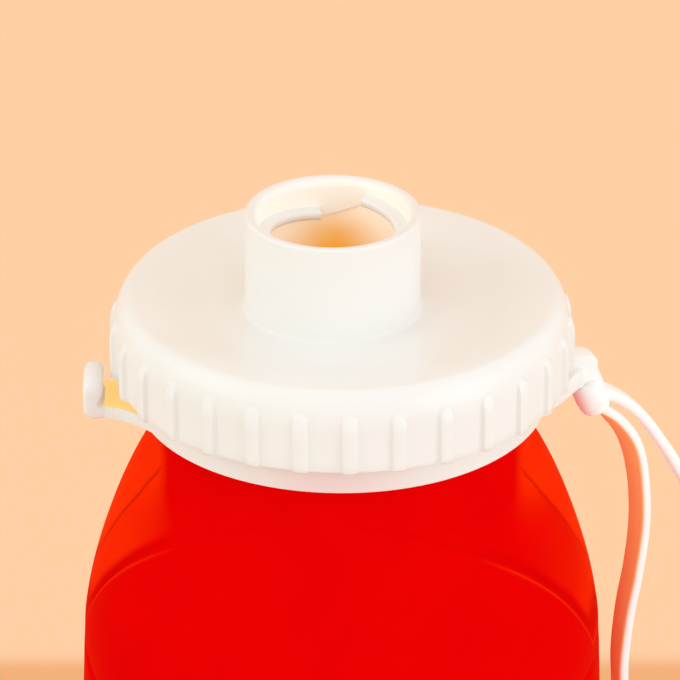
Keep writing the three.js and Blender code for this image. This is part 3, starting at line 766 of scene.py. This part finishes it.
def innerRows():  # over the neck's top and down the inside to the floor
    form = bodyForm
    neck, top, edge, wall = form["neckRadius"], form["neckTopZ"], form["neckEdge"], form["wall"]
    bore, innerTop = neck - form["neckWall"], neckFootZ - wall
    rows = [(neck, form["ringZ"]), (neck, top - edge), (neck - edge, top),
            (bore + edge, top), (bore, top - edge), (bore, innerTop)]
    for high, low in ((innerTop, form["shoulderFootZ"]), (form["shoulderFootZ"], form["baseHigh"])):
        for i in range(1, 9):
            at = lerp(high, low, i / 8)
            rows.append((bodyRadius(at) - wall, at))
    base = form["floor"] + form["footRecess"]
    for i in range(1, 6):
        t = pi / 2 * i / 5
        r = form["radius"] - wall - form["floorRound"] * (1 - cos(t))
        rows.append((r, lerp(form["baseHigh"], base, sin(t))))
    return rows + [(0, base)]


def bodyColumn(angle):
    psi = angle - foldForm["turn"]
    front, fromSide = sin(psi) ** 2, offSide(psi)
    # at the sides the top fold and the arc run together
    tip = foldForm["tip"] * (1 - smooth(*foldForm["tipRun"], fromSide))
    folds, low = foldRows(front, fromSide, tip)
    arc = arcRows(angle, front, fromSide, tip, low)
    return footRows() + folds + arc + sideRows(angle, arc[-1][1]) + innerRows()


def makeBody():
    steps = bodyForm["steps"]
    columns = []
    for i in range(steps):
        angle = tau * i / steps
        angle -= bodyForm["crowd"] / 2 * sin(2 * (angle - foldForm["turn"]))  # closer at the sides
        columns.append((angle, bodyColumn(angle)))
    bm = bmesh.new()
    row = spunProfile(bm, [(1, i) for i in range(len(columns[0][1]))], steps)
    # one value holds painted shade along seams and valleys, the other painted light on the side panels and lip
    seam, paintedLight = paint(bm, "seam"), paint(bm, "paintedLight")
    for v in bm.verts:
        angle, column = columns[columnOf(v, steps)]
        r, z, *paintedShadeAndLight = column[v[row]]
        v.co = polar(r, angle, z)
        v[seam], v[paintedLight] = paintedShadeAndLight or (0.0, 0.0)
    body = finishPiece("bottleBody", bm, redBody, 60)
    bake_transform(body)
    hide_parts("body_base", "body_wall_lower", "body_wall_upper", "body_shoulder")


makeBody()
print("body moulded")


# collar: ring with a thread core, the open hook and the strap's lug
collarForm = dict(
    bore=26.8, ring=30.2, ringLow=187.05, ringZ=187.2, ringTop=191.7, core=29.4, top=196.5, round=0.35,
    # the ring's painted red reflection of the body: strength, direction and falloff
    edge=0.2, steps=240, clear=0.03, redBounce=0.92, redBounceTurn=radians(-100.3), redBouncePower=14,
    pitch=4.0, turns=1.02, climb=0.85, threadHigh=0.95, threadTurn=radians(-140), threadTaper=0.9,
    hookReach=37.9, finger=2.2, head=2.9, hookWide=8.0, hookRoot=23.0, hookHigh=6.5, arm=1.9, armBevel=0.4,
    armInset=0.15, armWarm=0.75, flare=4.6, flarePower=1.6, slant=0.4, heel=1.6, foot=3.6, topRound=2.4,
    topDrop=1.9, endInsets=[(0.2, 0), (0.55, 0), (0.86, 0), (0.94, 0.1), (0.985, 0.3), (1, 0.55)],
    lugEnd=35.6, lugBar=2.2, lugWide=7.8, lugRoot=23.4, lugShoulder=18.2, lugHigh=2.9, lugRound=1.1,
    lugBevel=0.35, lugGlow=0.4, slotWide=5.2, slotDeep=2.5, slotRound=0.5)


def rootX(width):  # where a root of that width meets the thread core
    return sqrt(collarForm["core"] ** 2 - (width / 2) ** 2)


def hookArm():
    form = collarForm
    bm = bmesh.new()
    root, half = rootX(form["hookRoot"]), form["hookWide"] / 2 - 0.05
    reach = form["hookReach"] - form["finger"]  # ends inside the finger's foot
    side = []
    for i in range(11):  # flares from the arm into the ring
        t = i / 10
        x = lerp(root, form["ring"] + form["flare"], t)
        side.append((x, lerp(form["hookRoot"] / 2, half, 1 - (1 - t) ** form["flarePower"])))
    side += corner(reach - 1, half - 1, 1, 90, 0, 4)
    outline = [(-x, y) for x, y in side] + [(-x, -y) for x, y in reversed(side)]
    low, high = form["ringZ"] + form["clear"], form["ringZ"] + form["arm"]
    face = bm.faces.new([bm.verts.new((x * mm, y * mm, low * mm)) for x, y in outline])
    raised(bm, [face], high - low)
    bevelSharp(bm, bm.faces, form["armBevel"])
    amberLight, inside = paint(bm, "amberLight"), paint(bm, "inside")
    top = max(bm.faces, key=lambda f: f.normal.z * f.calc_area())
    bmesh.ops.inset_region(bm, faces=[top], thickness=form["armInset"] * mm, use_even_offset=True)
    for v in top.verts:  # painted amber light and glow on the arm's top behind the finger, standing for light through the narrow arm
        v[amberLight], v[inside] = form["armWarm"], plastic["faint"]
    return bm


def hookFinger():
    form = collarForm
    bm = bmesh.new()
    high, half = form["hookHigh"], form["hookWide"] / 2
    out, bead, heel = -form["hookReach"], form["head"] / 2, form["heel"]
    inner, throat = out + form["finger"], high - 2 * bead
    # side view from the heel up the outer face, over the bead and down the inner face
    outline = [(out + form["foot"], 0.1), (out + 2.4, 0)] + corner(out + heel, heel, heel, 270, 180, 5)
    outline += [(out, high * 0.45)] + corner(out + bead, high - bead, bead, 180, -20, 10)
    outline += [(out + form["head"] - 0.45, throat - 0.1), (inner + 0.1, throat - 0.7), (inner, 3.0),
                (inner + 0.2, 2.35), (inner + 0.65, 1.95), (out + form["foot"], 1.78)]
    stations = []
    for share, inset in [(-s, i) for s, i in reversed(form["endInsets"])] + form["endInsets"]:
        over = max(0.0, abs(share) * half - (half - form["topRound"])) / form["topRound"]
        top = 1 - form["topDrop"] * (1 - sqrt(1 - over * over)) / high
        ring = []
        for x, z in outline:
            towards = Vector((out + 1.3 - x, min(max(z, 1.2), high - 1.5) - z))
            x, z = Vector((x, z)) + towards.normalized() * min(inset, towards.length * 0.7)
            slim = 1 - 0.035 * smooth(out + 2.0, out + 3.4, x)
            z = form["ringZ"] + z * lerp(1, top, smooth(0.5, 3.5, z))
            ring.append(Vector((x + form["slant"] * share, share * half * slim, z)))
        stations.append(ring)
    loft(bm, stations)
    return bm


def strapLug():
    form = collarForm
    bm = bmesh.new()
    r, half, x0 = form["lugRound"], form["lugWide"] / 2, rootX(form["lugRoot"])
    x1 = form["lugEnd"] - r
    middle = (x0 + form["lugEnd"]) / 2
    side = []
    for i in range(9):  # broad at the ring, bowed in to the bar
        t = i / 9
        width = bowed(form["lugRoot"], form["lugShoulder"], form["lugWide"], t)
        side.append((bowed(x0, middle, x1, t), width / 2))
    outer = ([(x, -y) for x, y in side] + corner(x1, r - half, r, -70, 0) + corner(x1, half - r, r, 0, 70)
             + side[::-1])
    barIn, slotHalf, r = form["lugEnd"] - form["lugBar"], form["slotWide"] / 2, form["slotRound"]
    slotIn = barIn - form["slotDeep"]
    inner = ([(slotIn, -slotHalf)] + corner(barIn - r, r - slotHalf, r, -90, 0)
             + corner(barIn - r, slotHalf - r, r, 0, 90) + [(slotIn, slotHalf)])
    framed(bm, outer, inner, form["ringZ"] + form["clear"], form["ringZ"] + form["lugHigh"])
    bevelSharp(bm, bm.faces, form["lugBevel"])
    # painted glow lightening the lug's top, which lies in shade under the skirt
    inside = paint(bm, "inside")
    for v in bm.verts:
        upper = smooth(form["lugHigh"] - 0.6, form["lugHigh"], v.co.z / mm - form["ringZ"])
        v[inside] = form["lugGlow"] * plastic["faint"] * upper
    return bm


def makeCollar():
    form = collarForm
    bore, ring, core = form["bore"], form["ring"], form["core"]
    low, ringTop, top = form["ringLow"], form["ringTop"], form["top"]
    r, edge = form["round"], form["edge"]
    profile = ([(bore, low + edge), (bore + edge, low)] + corner(ring - r, low + r, r, -90, 0)
               + corner(ring - r, ringTop - r, r, 0, 90) + [(core + 0.25, ringTop), (core, ringTop + 0.25)]
               + corner(core - r, top - r, r, 0, 90) + [(bore + edge, top), (bore, top - edge)])
    bm = bmesh.new()
    paint(bm, "amberLight")
    paint(bm, "inside")
    redBounce = paint(bm, "redBounce")
    spunProfile(bm, profile, form["steps"], closed=True)
    weld(bm)
    front = Vector((cos(form["redBounceTurn"]), sin(form["redBounceTurn"]), 0))
    for v in bm.verts:  # painted red reflection of the body, strongest above the broad front and back panels
        share = (v.co.dot(front) / mm / ring) ** form["redBouncePower"]
        v[redBounce] = form["redBounce"] * share * smooth(low + 0.1, low + 0.3, v.co.z / mm)
    crest, foot = core + form["threadHigh"], ringTop + 0.15
    section = [(core - 0.4, 0), (core, 0), (crest, 0.45), (crest, 0.75), (core, 1.2), (core - 0.4, 1.2)]
    climbingBar(bm, [(x, z + foot) for x, z in section], form["threadTurn"], tau * form["turns"],
                form["pitch"] * form["turns"] * form["climb"], 200, taper=form["threadTaper"])
    joined(bm, hookArm())
    joined(bm, hookFinger())
    joined(bm, strapLug())
    collar = finishPiece("neckCollar", bm, collarWhite, 34)
    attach(collar, "upper")
    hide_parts("neck_collar")


makeCollar()
print("collar moulded")


linerForm = dict(
    bore=21.8, outer=23.6, flange=29.0, lowZ=178.8, flangeZ=196.8, topZ=198.2, edge=0.3, round=0.4, mouth=0.6,
    steps=200)
sealForm = dict(
    inner=22.6, outer=29.0, lowZ=198.5, topZ=200.3, round=0.5, lipOff=1.6, lipHalf=0.6, bead=0.35, steps=200)


def makeLiner():
    form = linerForm
    bore, outer, flange, edge = form["bore"], form["outer"], form["flange"], form["edge"]
    lowZ, flangeZ, topZ, r, mouth = form["lowZ"], form["flangeZ"], form["topZ"], form["round"], form["mouth"]
    profile = ([(bore + edge, lowZ), (outer - edge, lowZ), (outer, lowZ + edge)]
               + [(outer, lerp(lowZ, flangeZ, t)) for t in (0.35, 0.7)]
               + [(outer, flangeZ - 0.25), (outer + 0.25, flangeZ)]
               + corner(flange - r, flangeZ + r, r, -90, 0, 3) + corner(flange - r, topZ - r, r, 0, 90, 3)
               + corner(bore + mouth, topZ - mouth, mouth, 90, 180, 4)
               + [(bore, lerp(lowZ, topZ, 0.5)), (bore, lowZ + edge)])
    liner = turned("neckLiner", profile, form["steps"], collarWhite, 34)
    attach(liner, "upper")
    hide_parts("neck_liner")


def makeSeal():
    form = sealForm
    inner, outer, r = form["inner"], form["outer"], form["round"]
    lowZ, topZ, half = form["lowZ"], form["topZ"], form["lipHalf"]
    middle, valleyZ = (inner + outer) / 2, topZ - form["bead"]
    profile = corner(outer - r, lowZ + r, r, -90, 0, 3) + corner(outer - r, topZ - r, r, 0, 90, 3)
    for lip in (middle + form["lipOff"], middle - form["lipOff"]):  # two raised sealing lips on the upper face
        profile += [(lip + half, valleyZ), (lip, topZ), (lip - half, valleyZ)]
    profile += corner(inner + r, topZ - r, r, 90, 180, 3) + corner(inner + r, lowZ + r, r, 180, 270, 3)
    seal = turned("capSeal", profile, form["steps"], sealWhite, 50)
    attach(seal, "seal")
    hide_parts("cap_gasket")


makeLiner()
makeSeal()
print("liner and seal turned")


# screw cap: ribbed skirt, dished top and a spout off the middle with two stopper ramps in its bore
# rows are heights on the skirt, ribPlaces are spots across one rib and the gap beside it
capForm = dict(
    skirt=33.2, bore=31.2, skirtZ=192.0, plateZ=200.6, dishZ=202.9, edgeZ=204.1, filletWide=2.7, filletHigh=5.4,
    topStart=30.2, rim=29.6, flat=18.2, flatRun=0.8, ribs=30, ribWide=1.95, ribReach=34.0, ribTopZ=200.9,
    ribSoft=0.17, ribCrown=0.10, ribCrownHalf=0.97, ribTurn=radians(-95.4),
    ribPlaces=[-3.476, -2.3, -1.6, -1.2, -1.06, -0.97, -0.88, -0.5, 0, 0.5, 0.88, 0.97, 1.06, 1.2, 1.6, 2.3],
    rows=[0.35, 1.4, 3, 4.6, 6.2, 6.8, 7.3, 7.6, 7.85, 8.05, 8.25, 8.45, 8.6, 8.75, 8.9, 9.05, 9.2, 9.5, 9.9,
          10.3, 10.7, 11.05, 11.35, 11.6, 11.8, 11.95, 12.05, 12.09])
# stepRows are height from the ramps' line and depth into the wall
spoutForm = dict(
    centre=(-1.6, -2.25), radius=12.7, bore=10.8, topZ=217.8, lip=0.45, innerLip=1.25, fillet=1.0, relief=0.25,
    ramps=2, rampDeep=1.9, rampRoot=0.9, rampThick=1.4, rampRound=0.55, rampBelow=1.8, rampDrop=2.6,
    rampStart=radians(55.7), rampSpan=radians(-142), rampPower=1.7,
    stepRows=[(0.6, 0), (0.12, 0), (-0.12, 0.22), (-0.6, 0.25), (-1.4, 0.25)],
    # where the painted light and glow go in the bore
    boreTurn=radians(81), litRows=(-8, -1), wallWarm=(0.04, 0.12), sideGlow=0.36, sideWarm=0.42,
    deepFrom=4.5, deepRun=6, deepLeast=0.35)


def capEdgeRadius(z):
    form = capForm
    t = min(1.0, max(0.0, (z - form["edgeZ"] + form["filletHigh"]) / form["filletHigh"]))
    return form["skirt"] - form["filletWide"] * (1 - sqrt(1 - t * t))


def ribShare(u, z):  # 1 on a rib, 0 beside it
    half = capForm["ribWide"] / 2
    over = max(0.0, z - (capForm["ribTopZ"] - half))
    off = hypot(u, over) - half
    return 1 - smooth(-capForm["ribSoft"], capForm["ribSoft"], off)


def rampLine(angle):  # height of the ramps' underside, running up again between one ramp and the next
    spout = spoutForm
    each, span = tau / spout["ramps"], abs(spout["rampSpan"])
    share = ((spout["rampStart"] - angle) % each) / span
    over = (max(0.0, share - 1) / (each / span - 1)) ** spout["rampPower"]
    return spout["topZ"] - spout["rampBelow"] - spout["rampThick"] - spout["rampDrop"] * (min(share, 1) - over)


def capShell(steps):  # skirt and top, open in the middle
    form = capForm
    bore, skirt, low, plate = form["bore"], form["skirt"], form["skirtZ"], form["plateZ"]
    under = [(bore - 1.2, plate), (bore - 0.4, plate), (bore - 0.1, plate - 0.1), (bore, plate - 0.4),
             (bore, low + 4), (bore, low + 0.35), (bore + 0.1, low + 0.1), (bore + 0.35, low)]
    outside = [(skirt - 0.35, low), (skirt - 0.1, low + 0.1)]
    outside += [(capEdgeRadius(low + z), low + z) for z in form["rows"]]
    top = []
    for i in range(19):  # the top falls gently from its rim to the flat round the spout
        r = lerp(form["topStart"], form["flat"], i / 18)
        fall = smooth(form["rim"], form["flat"] + form["flatRun"], r)
        top.append((r, form["edgeZ"] - (form["edgeZ"] - form["dishZ"]) * fall))
    profile = under + outside + top
    bm = bmesh.new()
    row = spunProfile(bm, profile, steps)
    for v in bm.verts:
        rib, place = divmod(columnOf(v, steps), len(form["ribPlaces"]))
        u = form["ribPlaces"][place]
        r, z = profile[v[row]]
        if len(under) <= v[row] < len(under) + len(outside):
            share = ribShare(u, z) * smooth(low - 0.01, low + 0.4, z + 0.2)
            stand = (form["ribReach"] - skirt) * (1 - 0.5 * smooth(low + 6.2, form["ribTopZ"], z))
            r += share * (stand - form["ribCrown"] * (u / form["ribCrownHalf"]) ** 2)
        angle = form["ribTurn"] + tau * rib / form["ribs"] + u / skirt
        v.co = polar(r, angle, z)
    weld(bm)
    return bm


def spoutPost(steps):  # the spout about its own axis, with the light of its bore painted on
    form = spoutForm
    bore, radius, top, fillet = form["bore"], form["radius"], form["topZ"], form["fillet"]
    dish, plate = capForm["dishZ"], capForm["plateZ"]
    foot, lip, innerLip = radius + fillet, form["lip"], form["innerLip"]
    outline = [(foot + 1.2, dish), (foot + 0.5, dish), (foot + 0.15, dish + 0.01)]
    outline += corner(foot, dish + fillet, fillet, -95, -180, 6)[1:]
    outline += [(radius, lerp(dish, top, t)) for t in (0.2, 0.4, 0.6, 0.8)]
    outline += corner(radius - lip, top - lip, lip, 0, 90)
    outline += corner(bore + innerLip, top - innerLip, innerLip, 90, 180, 8)
    firstBore = len(outline)
    outline += [(bore, top - 1 - i) for i in range(len(form["stepRows"]))]
    outline += [(bore + form["relief"], lerp(dish, top, t)) for t in (0.42, 0.28, 0.12)]
    outline += [(bore + 0.2, plate + 0.4), (bore + 0.1, plate + 0.1), (bore + 0.4, plate), (bore + 1.2, plate)]
    bm = bmesh.new()
    row = spunProfile(bm, outline, steps)
    amberLight, inside = paint(bm, "amberLight"), paint(bm, "inside")
    for v in bm.verts:
        angle = atan2(v.co.y, v.co.x)
        line = rampLine(angle)
        index = v[row] - firstBore
        if 0 <= index < len(form["stepRows"]):
            lift, depth = form["stepRows"][index]
            v.co = polar(bore + depth, angle, line + lift)
        # painted glow and amber light on the upper bore wall, more amber on one side
        lit = smooth(*form["litRows"], index)
        v[inside] = plastic["faint"] * lit
        v[amberLight] = lerp(*form["wallWarm"], smooth(-0.2, 0.8, cos(angle))) * lit
        if index >= 0:  # painted light below the ramps: more glow at the bore's sides, and amber light that grows deeper down and is strongest at its front and back walls
            z = v.co.z / mm
            below = smooth(line + 0.1, line - 0.1, z)
            sides = abs(sin(angle - form["boreTurn"]))
            deep = lerp(form["deepLeast"], 1, smooth(0, form["deepRun"], top - form["deepFrom"] - z))
            v[inside] += form["sideGlow"] * lerp(0.5, 1, smooth(0, 0.5, sides)) * below
            v[amberLight] = max(v[amberLight], deep * below * lerp(1, form["sideWarm"], smooth(0, 0.75, sides)))
    weld(bm)
    x, y = form["centre"]
    bmesh.ops.translate(bm, verts=bm.verts, vec=(x * mm, y * mm, 0))
    return bm


def makeCap():
    form, spout = capForm, spoutForm
    steps = form["ribs"] * len(form["ribPlaces"])
    bm = capShell(steps)
    joined(bm, spoutPost(steps))
    ends = [e for e in bm.edges if e.is_boundary]
    for height in (form["dishZ"], form["plateZ"]):  # the flat top and underside close between cap and spout
        level = [e for e in ends if all(abs(v.co.z / mm - height) < 0.05 for v in e.verts)]
        bmesh.ops.bridge_loops(bm, edges=level)
    inner, outer, r = spout["bore"] - spout["rampDeep"], spout["bore"] + spout["rampRoot"], spout["rampRound"]
    topZ = spout["topZ"] - spout["rampBelow"]
    lowZ = topZ - spout["rampThick"]
    section = ([(outer, lowZ), (outer, topZ)] + corner(inner + r, topZ - r, r, 90, 180, 4)
               + corner(inner + r, lowZ + r, r, 180, 270, 4))
    for i in range(spout["ramps"]):
        start = spout["rampStart"] + tau * i / spout["ramps"]
        climbingBar(bm, section, start, spout["rampSpan"], -spout["rampDrop"], 60, spout["centre"])
    cap = finishPiece("screwCap", bm, capWhite, 42)
    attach(cap, "cap")
    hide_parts("cap_shell")


makeCap()
print("cap moulded")
